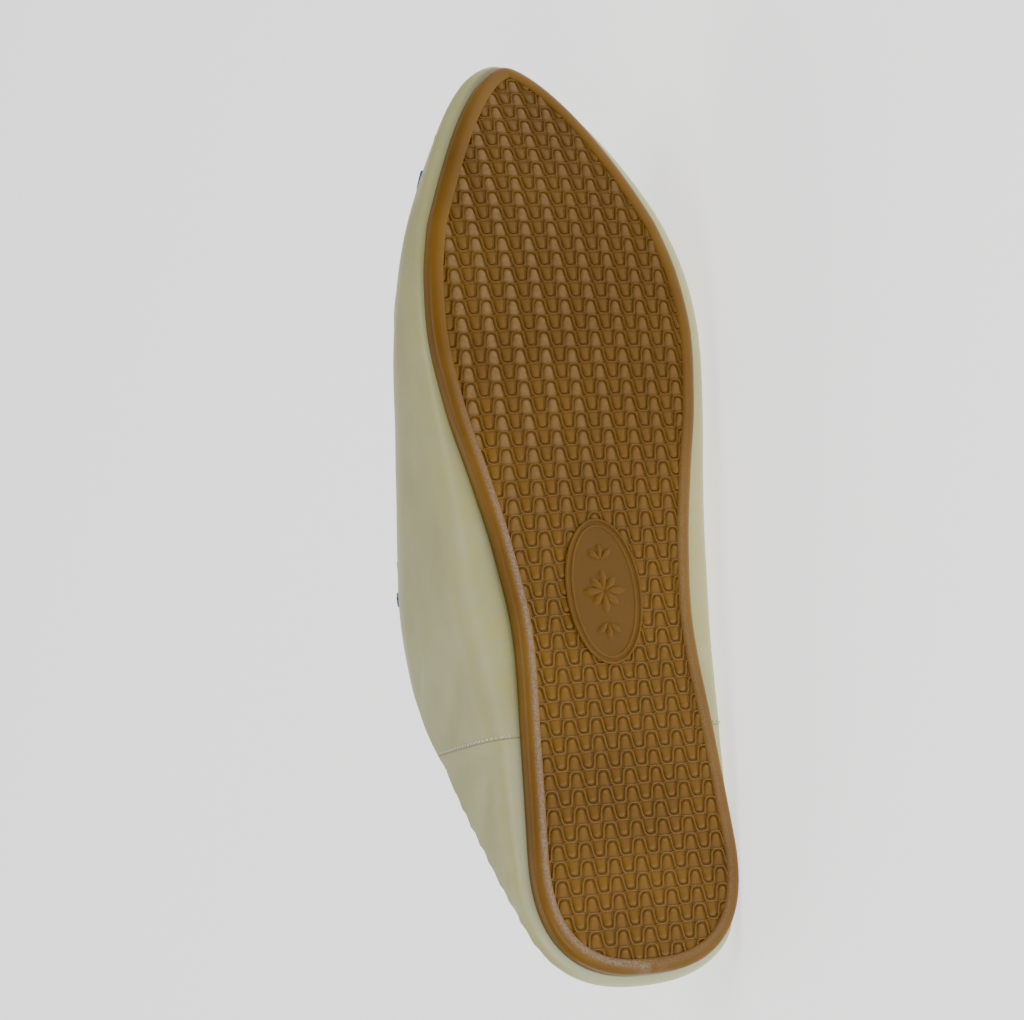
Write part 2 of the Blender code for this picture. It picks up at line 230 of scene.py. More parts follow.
def layered(name, rings, count, floor_rows):
    """Closed body from rings round the sole's outline, given as inset and height above the tread.

    One half is made, from heel to toe, and copied over to the other side.
    """
    bm = bmesh.new()
    rows = []
    ys = [SHOE_LENGTH * (1 - math.cos(math.pi * k / count)) / 2 for k in range(count + 1)]
    for inset, height in rings:
        places = [outline_point(y, inset) for y in ys]
        rows.append([bm.verts.new((x, y, tread_height(x, y) + height)) for x, y in places])
    ends = []
    for row, height in ((rows[0], rings[0][1]), (rows[-1], rings[-1][1])):
        fill = [row]
        for k in range(1, floor_rows + 1):
            part = 1 - k / floor_rows
            spots = [(v.co.x * part, v.co.y) for v in row]
            fill.append([bm.verts.new((x, y, tread_height(x, y) + height)) for x, y in spots])
        ends.append(fill)
    for group in (rows, *ends):
        join_rows(bm, group)
    copied = bmesh.ops.duplicate(bm, geom=bm.verts[:] + bm.edges[:] + bm.faces[:])["geom"]
    for item in copied:
        if isinstance(item, bmesh.types.BMVert):
            item.co.x = -item.co.x
    bmesh.ops.reverse_faces(bm, faces=[f for f in copied if isinstance(f, bmesh.types.BMFace)])
    bmesh.ops.remove_doubles(bm, verts=bm.verts[:], dist=0.02 * MM)
    bmesh.ops.dissolve_degenerate(bm, edges=bm.edges[:], dist=0.005 * MM)
    bmesh.ops.recalc_face_normals(bm, faces=bm.faces[:])
    return laid_down(name, bm)


def keep_on_points(mesh, name, values):
    """One number on each point of a mesh, for its finish to read."""
    mesh.attributes.new(name, "FLOAT", "POINT").data.foreach_set("value", values)


class Finish:
    """A node material, with short ways to add and join its nodes."""

    def __init__(self, name):
        self.material = bpy.data.materials.new(name)
        self.material.use_nodes = True
        self.tree = self.material.node_tree

    def plug(self, socket, value):
        """Link a socket to the output that feeds it, or set its number or colour."""
        if isinstance(value, bpy.types.NodeSocket):
            self.tree.links.new(value, socket)
        elif isinstance(value, tuple):
            socket.default_value = (*value, 1)
        else:
            socket.default_value = value

    def feed(self, node, feeds):
        """Feed a node's inputs, given by name or number, and give the node back."""
        for socket, value in feeds.items():
            self.plug(node.inputs[socket], value)
        return node

    def node(self, kind, feeds):
        """New node with its inputs fed."""
        return self.feed(self.tree.nodes.new("ShaderNode" + kind), feeds)

    def places(self):
        """Places on the object itself."""
        return self.node("TexCoord", {}).outputs["Object"]

    def read(self, name):
        """Number kept on the points of the piece."""
        made = self.node("Attribute", {})
        made.attribute_name = name
        return made.outputs["Fac"]

    def noise(self, place, scale, detail=2):
        """Cloudy pattern."""
        return self.node("TexNoise", {"Vector": place, "Scale": scale, "Detail": detail}).outputs["Fac"]

    def remap(self, value, start, end, first=0, last=1, kind="LINEAR"):
        """First up to start, last from end on, and the way between them."""
        made = self.node("MapRange", {"Value": value, "From Min": start, "From Max": end,
                                      "To Min": first, "To Max": last})
        made.interpolation_type = kind
        return made.outputs["Result"]

    def maths(self, operation, *values, clamped=False):
        """Result of one operation on numbers."""
        made = self.node("Math", {})
        made.operation = operation
        made.use_clamp = clamped
        return self.feed(made, dict(enumerate(values))).outputs["Value"]

    def mix(self, share, under, over):
        """Colour between two others, which are the node's sockets 6 and 7."""
        made = self.node("Mix", {})
        made.data_type = "RGBA"
        return self.feed(made, {0: share, 6: under, 7: over}).outputs[2]

    def tones(self, value, *stops):
        """Colour from a row of stops, given as place and colour."""
        made = self.node("ValToRGB", {"Fac": value})
        row = made.color_ramp.elements
        for k, (at, colour) in enumerate(stops):
            stop = row[k] if k < 2 else row.new(at)
            stop.position = at
            stop.color = (*colour, 1)
        return made.outputs["Color"]

    def relief(self, height, strength, distance, under=None):
        """Fine relief, on top of another one where under is given."""
        made = self.node("Bump", {"Height": height, "Strength": strength, "Distance": distance})
        if under:
            self.plug(made.inputs["Normal"], under)
        return made.outputs["Normal"]

    def coat(self, feeds):
        """Feed the shader, and give back the material."""
        self.feed(self.tree.nodes["Principled BSDF"], feeds)
        return self.material


DARK_CARAMEL = (0.136, 0.061, 0.0040)
LIGHT_CARAMEL = (0.182, 0.087, 0.0070)
# Darker brown for painted shade, a pale bloom for painted sheen with wear, and chalky grey with a painted
# highlight.
DARKER_BROWN = (0.092, 0.041, 0.0020)
SHEEN_AND_WEAR_BLOOM = (0.222, 0.130, 0.048)
CHALK_AND_HIGHLIGHT_GREY = (0.270, 0.200, 0.145)
rubber = Finish("caramel_rubber")
place = rubber.places()
tone = rubber.tones(rubber.noise(place, 38, 5), (0.32, DARK_CARAMEL), (0.70, LIGHT_CARAMEL))
# Painted shade: the tabs darken towards the toe, and the oval's pieces by set shares.
tone = rubber.mix(rubber.read("darkening"), tone, DARKER_BROWN)
# Painted sheen with wear, as a pale bloom, on the tabs; painted highlight along the raised line and on the
# domes.
face_sheen = rubber.maths("MULTIPLY", rubber.read("sheen_and_wear"), rubber.read("tab_face"))
line_sheen = rubber.maths("MULTIPLY", rubber.read("line_and_dome_sheen"), rubber.read("line_sheen"))
mottle = rubber.remap(rubber.noise(place, 900, 4), 0.30, 0.62, 0.45)
most_sheen = rubber.maths("MAXIMUM", face_sheen, line_sheen)
sheen_share = rubber.maths("MULTIPLY", most_sheen, mottle, clamped=True)
tone = rubber.mix(sheen_share, tone, SHEEN_AND_WEAR_BLOOM)
# Chalky smears with a painted highlight on the rim's inner roll.
patches = rubber.remap(rubber.noise(place, 2000, 5), 0.36, 0.66, 0.25)
tone = rubber.mix(rubber.maths("MULTIPLY", rubber.read("chalk_and_highlight"), patches), tone, CHALK_AND_HIGHLIGHT_GREY)
fine = rubber.noise(place, 1600)
caramel = rubber.coat({"Base Color": tone,
                       "Roughness": rubber.remap(fine, 0, 1, 0.28, 0.46),
                       "Normal": rubber.relief(fine, 0.40, 0.00006),
                       "Specular IOR Level": 0.18})

rim_rings = [(0, SOLE_THICK), (0, WALL_FOOT)]
for turn in np.linspace(0, math.pi / 2, 7):
    rim_rings.append((RIM_ROUND * (1 - math.cos(turn)), RIM_CORNER * (1 - math.sin(turn))))
for turn in np.linspace(0, math.pi / 2, 6)[1:]:
    inset = RIM_ROUND + (RIM_WIDTH - RIM_ROUND - FIELD_STEP) * math.sin(turn)
    rim_rings.append((inset, RIM_LIP * (1 - math.cos(turn))))
rim_rings.append((RIM_WIDTH, FIELD_DEPTH))
sole = layered("moulded_sole", rim_rings, count=96, floor_rows=8)

PALE_ROLL = 1.2 * MM
PALE_WIDTH = 0.95 * MM
PALE_START = 165 * MM
PALE_FULL = 115 * MM
INNER_PALE = 0.35


def rim_chalk_and_highlight():
    """Chalky grey wear and a painted highlight on the inner roll of the rim, round the heel and along the
    outer side.
    """
    line = [outline_point(y, 0) for y in np.linspace(0, SHOE_LENGTH, 700)]
    line = np.array(line + [(-x, y) for x, y in line])
    values = []
    for vertex in sole.data.vertices:
        point = standing @ vertex.co
        inset = np.hypot(line[:, 0] - point.x, line[:, 1] - point.y).min()
        roll = math.exp(-((inset - RIM_WIDTH + PALE_ROLL) / PALE_WIDTH)**2)
        side = 1.0 if point.x > 0 else INNER_PALE
        values.append(roll * side * ramp(point.y, PALE_START, PALE_FULL))
    return values


keep_on_points(sole.data, "chalk_and_highlight", rim_chalk_and_highlight())
sole.data.materials.append(caramel)
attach(sole, "root")
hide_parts("outsole")

# ---- tread ---------------------------------------------------------
# The field is moulded with rows of small domed tabs, which point to the toe and to the heel by
# turns. A thin raised line winds over one tab and under the next, and a low ridge closes
# each tab's open end. The rim and the oval cut off the tabs next to them.
CELL_WIDTH = 3.70 * MM
ROW_PITCH = 4.45 * MM
FIRST_COLUMN = 3.4 * MM
FIRST_ROW = 0.90 * MM
LINE_HALF = 0.08 * MM
LINE_FOOT = 0.27 * MM
LINE_RISE = 0.60 * MM
# The winding line over one tab, in millimetres; its legs take up a part of the way.
LINE_FEET = 1.85
LINE_LEGS = 1.65
LEG_HEIGHT = 1.00
HEAD_HEIGHT = 1.12
LEG_PART = 0.3
FOOT_WAY = (0.98, 0.2)
OVAL_HALF_LENGTH = 18.5 * MM
OVAL_HALF_WIDTH = 10.0 * MM
OVAL_CENTRE = OVAL_AT + 1.2 * MM


def winding_line(part):
    """Point of the raised line over one tab, from its left foot at part 0 to its right at 1."""
    side = -1 if part < 0.5 else 1
    climb = 1 - abs(2 * part - 1)
    if climb < LEG_PART:
        t = climb / LEG_PART
        return Vector((side * (LINE_FEET - (LINE_FEET - LINE_LEGS) * t), LEG_HEIGHT * t, 0)) * MM
    turn = (climb - LEG_PART) / (1 - LEG_PART) * math.pi / 2
    out = side * LINE_LEGS * math.cos(turn)**0.68
    return Vector((out, LEG_HEIGHT + HEAD_HEIGHT * math.sin(turn)**0.9, 0)) * MM


# A tab from its open end to its head, in millimetres.
#            along half  middle edge
TAB_ROWS = ((-2.14, 1.60, 0.14, 0.08),
            (-0.90, 1.46, 0.28, 0.16),
            (0.25, 1.34, 0.46, 0.26),
            (0.92, 1.16, 0.58, 0.28),
            (1.38, 0.80, 0.40, 0.12),
            (1.64, 0.34, 0.00, 0.00))
TAB_SHOULDER = 0.85
TAB_SHARES = (-1, -TAB_SHOULDER, -0.4, 0, 0.4, TAB_SHOULDER, 1)
TAB_FOOT = -0.05
RIDGE = ((-2.50, 0), (-2.28, 0.46), (-2.10, 0))
DOME_HIGHLIGHT = 0.8


def tread_tab():
    """One tab with its stretch of raised line, lying on a plane with its head towards +Y."""
    bm = bmesh.new()
    count = 12
    step = 0.02
    rails = []
    for k in range(count + 1):
        here = winding_line(k / count)
        onward = winding_line(min(k / count + step, 1)) - winding_line(max(k / count - step, 0))
        normal = Vector((-onward.y, onward.x, 0)).normalized()
        # The feet end upright, so that neighbouring stretches of the line meet.
        if k in (0, count):
            normal = Vector((-FOOT_WAY[0] if k == 0 else FOOT_WAY[0], FOOT_WAY[1], 0))
        row = []
        for offset, height in ((-LINE_FOOT, 0), (-LINE_HALF, 1), (LINE_HALF, 1), (LINE_FOOT, 0)):
            point = here - normal * offset
            row.append(bm.verts.new((point.x, point.y, height * LINE_RISE)))
        rails.append(row)
    join_rows(bm, rails)
    ridge_ends = (-LINE_FEET * MM, LINE_FEET * MM)
    ridge = [[bm.verts.new((x, y * MM, z * MM)) for y, z in RIDGE] for x in ridge_ends]
    join_rows(bm, ridge, flip=True)
    line_count = len(bm.verts)
    tab_rows = []
    for along, half, middle, edge in TAB_ROWS:
        row = []
        for share in TAB_SHARES:
            height = edge + (middle - edge) * (1 - (share / TAB_SHOULDER)**2)
            if abs(share) == 1:
                height = TAB_FOOT
            row.append(bm.verts.new((half * share * MM, along * MM, height * MM)))
        tab_rows.append(row)
    join_rows(bm, tab_rows)
    # The middle of each dome is marked for a painted highlight, like the raised line.
    dome = [bm.verts[:].index(vertex) for vertex in tab_rows[3][2:5]]
    mesh = mesh_of("tread_tab", bm)
    lines, faces = [], []
    for index, vertex in enumerate(mesh.vertices):
        raised = index < line_count and vertex.co.z > LINE_RISE / 2
        lines.append(1.0 if raised else DOME_HIGHLIGHT if index in dome else 0.0)
        faces.append(float(index >= line_count))
    keep_on_points(mesh, "line_and_dome_sheen", lines)
    keep_on_points(mesh, "tab_face", faces)
    mesh.shade_smooth()
    return put_in_scene("tread_tab", mesh)


def in_oval(x, y, grow):
    """True where a place lies inside the oval pad's outline, moved outwards by grow."""
    across = x / (OVAL_HALF_WIDTH + grow)
    return across**2 + ((y - OVAL_CENTRE) / (OVAL_HALF_LENGTH + grow))**2 < 1


def cover_line(inset):
    """Outline moved inwards: its distances from the heel, and its half width at any of them."""
    line = [outline_point(y, inset) for y in np.linspace(0, SHOE_LENGTH, 500)]
    halves = [x for x, y in line]
    lengths = [y for x, y in line]
    return lengths, lambda y: float(np.interp(y, lengths, halves, 0, 0))


FIELD_GROW = 1.9 * MM
OVAL_OVERLAP = 0.9 * MM
# How far from the heel, or from the centre line, the painted sheen with wear, the line's painted highlight
# and the painted shade towards the toe set in and are full.
FOREFOOT = (100 * MM, 145 * MM)
LINE_FADE = (90 * MM, 150 * MM)
TOE_SHADE_RISE = (145 * MM, 190 * MM)
OUTER_SIDE = (-34 * MM, 18 * MM)
LEAST_SHEEN = 0.10
FOREFOOT_SHEEN = 0.78
INNER_SHEEN = 0.3
HEEL_LINE_SHEEN = 0.65
TOE_LINE_LESS = 0.6
TOE_PAINTED_SHADE = 0.36


def tread_places():
    """Lattice of tab centres inside the rim and round the oval, each with its turn, its painted sheen with
    wear, its painted line highlight and its painted shade.
    """
    reach = cover_line(RIM_WIDTH - FIELD_GROW)[1]
    step = 0.5 * MM
    level = Matrix(((1, 0, 0), (0, -1, 0), (0, 0, -1)))
    places, turns, sheen_and_wear, line_sheen, darkening = [], [], [], [], []
    for row in range(1, int(SHOE_LENGTH / ROW_PITCH) + 1):
        for column in range(-11, 12):
            x = FIRST_COLUMN + CELL_WIDTH * column
            y = FIRST_ROW + ROW_PITCH * row
            if abs(x) > reach(y) or in_oval(x, y, -OVAL_OVERLAP):
                continue
            rise = (tread_height(x, y + step) - tread_height(x, y - step)) / (2 * step)
            tip = (tread_height(x + step, y) - tread_height(x - step, y)) / (2 * step)
            turn = Matrix.Rotation(math.pi if column % 2 else 0, 3, "Z")
            slope = Matrix.Rotation(math.atan(rise), 3, "X") @ Matrix.Rotation(-math.atan(tip), 3, "Y")
            places.append(shoe @ Vector((x, y, tread_height(x, y) + FIELD_DEPTH)))
            turns.append((lying @ slope @ level @ turn).to_euler())
            # Painted sheen with wear on every other column of tabs, most in the forefoot and on the outer
            # side; painted highlight on the raised line, fading towards the toe.
            sheen_reach = ramp(y, *FOREFOOT) * max(ramp(x, *OUTER_SIDE), INNER_SHEEN)
            sheen_and_wear.append(LEAST_SHEEN + FOREFOOT_SHEEN * sheen_reach if column % 2 else 0)
            line_sheen.append(HEEL_LINE_SHEEN - TOE_LINE_LESS * ramp(y, *LINE_FADE))
            # Painted shade, darker towards the toe.
            darkening.append(TOE_PAINTED_SHADE * ramp(y, *TOE_SHADE_RISE))
    return places, turns, {"sheen_and_wear": sheen_and_wear, "line_sheen": line_sheen, "darkening": darkening}


def made_plain(piece):
    """Keep the result of a piece's modifiers as its plain mesh."""
    graph = bpy.context.evaluated_depsgraph_get()
    plain = bpy.data.meshes.new_from_object(piece.evaluated_get(graph))
    piece.modifiers.clear()
    piece.data = plain
    plain.shade_smooth()
    return piece


def copying_tree(name):
    """Geometry Nodes tree that sets a turned copy of a unit on each place."""
    tree = bpy.data.node_groups.new(name, "GeometryNodeTree")
    inputs = (("Places", "Geometry"), ("Unit", "Object"), ("Size", "Float"), ("Finish", "Material"))
    named = {}
    for title, kind in inputs:
        made = tree.interface.new_socket(title, in_out="INPUT", socket_type="NodeSocket" + kind)
        named[title] = made.identifier
    tree.interface.new_socket("Result", in_out="OUTPUT", socket_type="NodeSocketGeometry")
    add, join = tree.nodes.new, tree.links.new
    given = add("NodeGroupInput").outputs
    result = add("NodeGroupOutput")
    source = add("GeometryNodeObjectInfo")
    turn_read = add("GeometryNodeInputNamedAttribute")
    turn_read.data_type = "FLOAT_VECTOR"
    turn_read.inputs["Name"].default_value = "turn"
    copies = add("GeometryNodeInstanceOnPoints")
    whole = add("GeometryNodeRealizeInstances")
    coat = add("GeometryNodeSetMaterial")
    join(given["Unit"], source.inputs["Object"])
    join(given["Places"], copies.inputs["Points"])
    join(source.outputs["Geometry"], copies.inputs["Instance"])
    join(turn_read.outputs["Attribute"], copies.inputs["Rotation"])
    join(given["Size"], copies.inputs["Scale"])
    join(copies.outputs["Instances"], whole.inputs["Geometry"])
    join(whole.outputs["Geometry"], coat.inputs["Geometry"])
    join(given["Finish"], coat.inputs["Material"])
    join(coat.outputs["Geometry"], result.inputs["Result"])
    return tree, named


def repeated(name, places, turns, unit, finish, marks):
    """Copies of a unit at many places, made by Geometry Nodes and kept as a plain mesh."""
    mesh = bpy.data.meshes.new(name)
    mesh.from_pydata([tuple(p) for p in places], [], [])
    turned = mesh.attributes.new("turn", "FLOAT_VECTOR", "POINT")
    turned.data.foreach_set("vector", [value for turn in turns for value in turn])
    for mark, values in marks.items():
        keep_on_points(mesh, mark, values)
    holder = put_in_scene(name, mesh)
    modifier = holder.modifiers.new("copies", "NODES")
    modifier.node_group, named = copying_tree(name)
    modifier[named["Unit"]] = unit
    modifier[named["Size"]] = 1.0
    modifier[named["Finish"]] = finish
    made_plain(holder)
    bpy.data.objects.remove(unit, do_unlink=True)
    return holder


COVER_INSET = 1.3 * MM
SUNK = 0.4 * MM
OVAL_MARGIN = 0.25 * MM
UNDER_PAD = 0.6 * MM


def sink_covered(piece):
    """Lower what the rim and the oval cover, so that their edges cut off the tabs next to them."""
    lengths, reach = cover_line(COVER_INSET)
    for vertex in piece.data.vertices:
        point = standing @ vertex.co
        if abs(point.x) > reach(point.y):
            point.x = math.copysign(reach(point.y), point.x)
            point.y = clamp(point.y, lengths[0], lengths[-1])
            point.z = tread_height(point.x, point.y) + FIELD_DEPTH + SUNK
            vertex.co = shoe @ point
        elif in_oval(point.x, point.y, OVAL_MARGIN):
            point.z = PAD_FACE + UNDER_PAD
            vertex.co = shoe @ point


tab_places, tab_turns, tab_marks = tread_places()
tread = repeated("tread_tabs", tab_places, tab_turns, tread_tab(), caramel, tab_marks)
sink_covered(tread)
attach(tread, "root")

# ---- oval pad ------------------------------------------------------
# A flat oval moulded in the waist of the tread, framed by a raised bead and a finer one inside
# it. It carries a plain rosette of eight petals between two sprigs.
BEAD_HALF = 0.42 * MM
PAD_THICK = 1.2 * MM


def oval_bead(grow, height):
    """Rounded bead along the oval's edge."""
    bm = bmesh.new()
    rings = []
    for turn in np.linspace(0, 2 * math.pi, 96, endpoint=False):
        x = (OVAL_HALF_WIDTH + grow) * math.cos(turn)
        y = OVAL_CENTRE + (OVAL_HALF_LENGTH + grow) * math.sin(turn)
        out = Vector((math.cos(turn) / OVAL_HALF_WIDTH, math.sin(turn) / OVAL_HALF_LENGTH, 0)).normalized()
        ring = []
        for angle in np.linspace(0, 2 * math.pi, 8, endpoint=False):
            point = Vector((x, y, PAD_FACE)) + out * BEAD_HALF * math.cos(angle)
            point.z -= height * math.sin(angle)
            ring.append(bm.verts.new(point))
        rings.append(ring + ring[:1])
    join_rows(bm, rings + rings[:1])
    bmesh.ops.recalc_face_normals(bm, faces=bm.faces[:])
    return bm


PETAL_RISE = 0.62
PETAL_FOOT = 0.06
PETAL_SECTION = ((-1, 0), (-0.7, 0.85), (0, 1), (0.7, 0.85), (1, 0))


def raised_petals(petals):
    """Low domed petals on the pad's face, given as root, direction in degrees, length and half width."""
    bm = bmesh.new()
    for (across, along), heading, length, half in petals:
        way = Vector((math.cos(math.radians(heading)), math.sin(math.radians(heading)), 0))
        beside = Vector((-way.y, way.x, 0))
        root = Vector((across, OVAL_CENTRE / MM + along, 0))
        rows = []
        for t in (0, 0.12, 0.35, 0.6, 0.82, 1):
            wide = half * max(math.sin(math.pi * t**1.3), 0)**0.7
            rise = PETAL_RISE * math.sin(math.pi * t)**0.5
            row = []
            for share, height in PETAL_SECTION:
                point = root + way * length * t + beside * wide * share
                face = PAD_FACE / MM + PETAL_FOOT - rise * height
                row.append(bm.verts.new((point.x * MM, point.y * MM, face * MM)))
            rows.append(row)
        join_rows(bm, rows)
    return bm


pad = bmesh.new()
bmesh.ops.create_cone(pad, cap_ends=True, segments=96, radius1=1, radius2=1, depth=1)
for vertex in pad.verts:
    vertex.co.x *= OVAL_HALF_WIDTH
    vertex.co.y = vertex.co.y * OVAL_HALF_LENGTH + OVAL_CENTRE
    vertex.co.z = PAD_FACE + (vertex.co.z + 0.5) * PAD_THICK
oval = laid_down("oval_pad", pad)
oval.data.shade_flat()
bead = laid_down("oval_bead", oval_bead(0.3 * MM, 0.45 * MM))
inner_bead = laid_down("oval_inner_bead", oval_bead(-1.25 * MM, 0.22 * MM))
SPRIG_AT = 8.2
petals = [((0, 0), 45 * k, 5.2 if k % 2 else 6.2, 1.25) for k in range(8)]
for end in (1, -1):
    petals += [((0, end * SPRIG_AT), end * heading, 4.4, 1.0) for heading in (40, 90, 140)]
rosette = laid_down("oval_rosette", raised_petals(petals))
# Each piece of the oval is darkened by a set share.
for piece, darker_share in ((oval, 0.55), (bead, 0.2), (inner_bead, 0.2), (rosette, 0.3)):
    keep_on_points(piece.data, "darkening", [darker_share] * len(piece.data.vertices))
    piece.data.materials.append(caramel)
    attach(piece, "root")

# ---- upper ---------------------------------------------------------
# Soft cream leather with its lining. The vamp laps over the back piece at the side seam,
# and the back is trodden down inside the heel, with puckers along the fold.


def refined_copy(node, name, levels):
    """Smooth copy of a node, to be worked further on the standing slipper."""
    bm = bmesh.new()
    bm.from_mesh(frame["nodes"][node].data)
    bmesh.ops.remove_doubles(bm, verts=bm.verts[:], dist=0.01 * MM)
    bmesh.ops.join_triangles(bm, faces=bm.faces[:], angle_face_threshold=0.9, angle_shape_threshold=2.4)
    coarse = put_in_scene(name, mesh_of(name, bm))
    smooth = coarse.modifiers.new("smooth", "SUBSURF")
    smooth.levels = levels
    smooth.render_levels = levels
    return made_plain(coarse)


upper = refined_copy("upper", "leather_upper", levels=2)

# Troughs, in millimetres; side 1 is the wearer's right.
#          from       to       depth width side
CREASES = ((78, 58, 96, 40, 0.7, 3.5, 1),
           (88, 52, 118, 30, 0.5, 4.5, 1),
           (64, 40, 84, 20, 0.5, 4.0, 1),
           (98, 24, 150, 20, 0.5, 5.0, 1),
           (40, 24, 58, 14, 0.5, 3.5, 1),
           (80, 56, 104, 36, 0.6, 4.0, -1))


def crease_depth(along, height, side):
    """Sum of the soft troughs at a place on one side of the upper."""
    total = 0.0
    for a0, h0, a1, h1, depth, width, which in CREASES:
        if which != side:
            continue
        run = Vector((a1 - a0, h1 - h0))
        t = clamp(Vector((along - a0, height - h0)).dot(run) / run.length_squared)
        gap = (Vector((along, height)) - Vector((a0, h0)) - run * t).length
        total += depth * math.exp(-(gap / width)**2) * math.sin(math.pi * clamp(t, 0.08, 0.92))
    return total


HEEL_SWELL = 1.8 * MM
HEEL_MIDDLE = 28 * MM
# Heights above the sole, in millimetres.
SWELL_FULL = 1.4
SWELL_FADES = 4
SWELL_TOP = 10


def ease(t):
    """Soft start and soft end of a share."""
    return t * t * (3 - 2 * t)


def heel_swell(point):
    """Push of the leather outwards round the back of the heel, just above the sole."""
    around = Vector((point.x, point.y - HEEL_MIDDLE, 0))
    above = (point.z - tread_height(point.x, point.y) - SOLE_THICK) / MM
    if around.y > 0 or above < 0 or above > SWELL_TOP:
        return Vector()
    out = around.normalized()
    share = ease(ramp(above, 0, SWELL_FULL)) * ease(ramp(above, SWELL_TOP, SWELL_FADES))
    return out * HEEL_SWELL * math.sqrt(-out.y) * share


# Distance from the heel and height of the fold, in millimetres.
FOLD_LINE = ((0.0, 12.0), (12.0, 12.6), (22.0, 15.4), (32.0, 21.8), (45.0, 32.4), (61.0, 46.0))
FOLD_START = (2, 12)
FOLD_END = (60, 48)
FOLD_LOWEST = 8
PUCKER_HEIGHT = 3.2
CREASE_CLEAR = 12 * MM


def pucker(along, height, side):
    """Rise or dip of the leather, in millimetres, along the fold of the trodden-down back."""
    if along >= FOLD_END[0] or height <= FOLD_LOWEST:
        return 0.0
    ripple = math.sin(along * 1.15 + side) * 0.42 + math.sin(along * 2.3 + 1.3) * 0.18
    fold = ramp(along, *FOLD_START) * ramp(along, *FOLD_END)
    return ripple * fold * math.exp(-((height - smooth_table(FOLD_LINE, along)) / PUCKER_HEIGHT)**2)


def soften_upper():
    """Swollen heel, creases in the sides, and puckers along the fold; flat where it lies down."""
    for vertex in upper.data.vertices:
        point = standing @ vertex.co
        point += heel_swell(point)
        along, height = point.y / MM, point.z / MM
        side = 1 if point.x > 0 else -1
        spread = min(abs(point.x) / CREASE_CLEAR, 1)
        point.x -= side * crease_depth(along, height, side) * spread * MM
        point.z += pucker(along, height, side) * MM
        placed = shoe @ point
        placed.z = max(placed.z, 0)
        vertex.co = placed


soften_upper()

# The lapped edge, in millimetres.
SEAM_AT = 61
LAP = 1.2
SEAM_FOOT = 5
SEAM_RISE = 42
SEAM_LEAN = 2.6


def seam_line(height):
    """Distance of the lapped edge from the heel at a height, both in millimetres."""
    return SEAM_AT + LAP + SEAM_LEAN * (height - SEAM_FOOT) / SEAM_RISE


def store_shoe_places(piece):
    """Keep height above the tread, distance from the heel and from the seam, in millimetres."""
    mesh = piece.data
    count = len(mesh.vertices)
    flat = np.empty(count * 3)
    mesh.vertices.foreach_get("co", flat)
    turned = np.array(standing.to_3x3())
    local = flat.reshape(count, 3) @ turned.T + np.array(standing.translation)
    ground = np.array([tread_height(x, y) for x, y in local[:, :2]])
    past_seam = local[:, 1] - seam_line(local[:, 2] / MM) * MM
    columns = (("above_sole", local[:, 2] - ground), ("along", local[:, 1]), ("past_seam", past_seam))
    for name, values in columns:
        keep_on_points(mesh, name, (values / MM).astype(np.float32))


store_shoe_places(upper)

SHADED_CREAM = (0.380, 0.366, 0.170)
LIGHT_CREAM = (0.444, 0.431, 0.212)
STAIN_YELLOW = (0.430, 0.400, 0.130)
RUBBED_SHEEN_CREAM = (0.530, 0.525, 0.360)
FEATHER_SHADOW_BROWN = (0.160, 0.135, 0.065)
LAP_LINE_AND_SHADOW = (0.265, 0.235, 0.120)
hide = Finish("cream_leather")
place = hide.places()
waves = hide.noise(place, 60, 6)
above_sole = hide.read("above_sole")
past_seam = hide.read("past_seam")
tone = hide.tones(waves, (0.30, SHADED_CREAM), (0.72, LIGHT_CREAM))
# Yellow stains in a band above the sole.
band = hide.remap(above_sole, 5, 20, 0.75, 0)
blotches = hide.remap(hide.noise(place, 190, 5), 0.36, 0.62)
tone = hide.mix(hide.maths("MULTIPLY", band, blotches), tone, STAIN_YELLOW)
# Rubbed pale with a painted sheen just above the sole, most of all behind the side seams.
low = hide.remap(above_sole, 4.6, 7.2, 1, 0, "SMOOTHSTEP")
rear = hide.remap(hide.read("along"), 58, 72, 0.65, 0.1)
tone = hide.mix(hide.maths("MULTIPLY", low, rear), tone, RUBBED_SHEEN_CREAM)
# Painted shadow in brown where it goes in behind the sole's edge, and a thin brown line at the lapped edge,
# partly its own colour and partly painted shadow under the step.
tone = hide.mix(hide.remap(above_sole, 4.4, 5.1, kind="SMOOTHSTEP"), FEATHER_SHADOW_BROWN, tone)
off_edge = hide.maths("ABSOLUTE", past_seam)
tone = hide.mix(hide.remap(off_edge, 0.08, 0.34, kind="SMOOTHSTEP"), LAP_LINE_AND_SHADOW, tone)
# Relief: the step of the lap, soft waves in the hide, and the grain.
lap = hide.relief(hide.remap(past_seam, -0.30, 0.30, kind="SMOOTHSTEP"), 0.8, 0.0002)
soft = hide.relief(waves, 0.30, 0.0012, lap)
cells = hide.node("TexVoronoi", {"Vector": place, "Scale": 1150})
cells.feature = "DISTANCE_TO_EDGE"
grain = hide.relief(cells.outputs["Distance"], 0.35, 0.00012, soft)
pores = hide.noise(place, 2600)
cream = hide.coat({"Base Color": tone,
                   "Roughness": hide.remap(pores, 0, 1, 0.34, 0.50),
                   "Normal": grain,
                   "Specular IOR Level": 0.4,
                   "Coat Weight": 0.10,
                   "Coat Roughness": 0.30})

upper.data.materials.clear()
upper.data.materials.append(cream)
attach(upper, "root")
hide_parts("upper")

# ---- fold tucks ----------------------------------------------------
# Where the trodden-down back starts to fold, at each side seam, the leather bunches in a
# small tuck between the fold and the inside of the vamp.
TUCK_THICK = 1.2 * MM
NO_LAP = -9.0
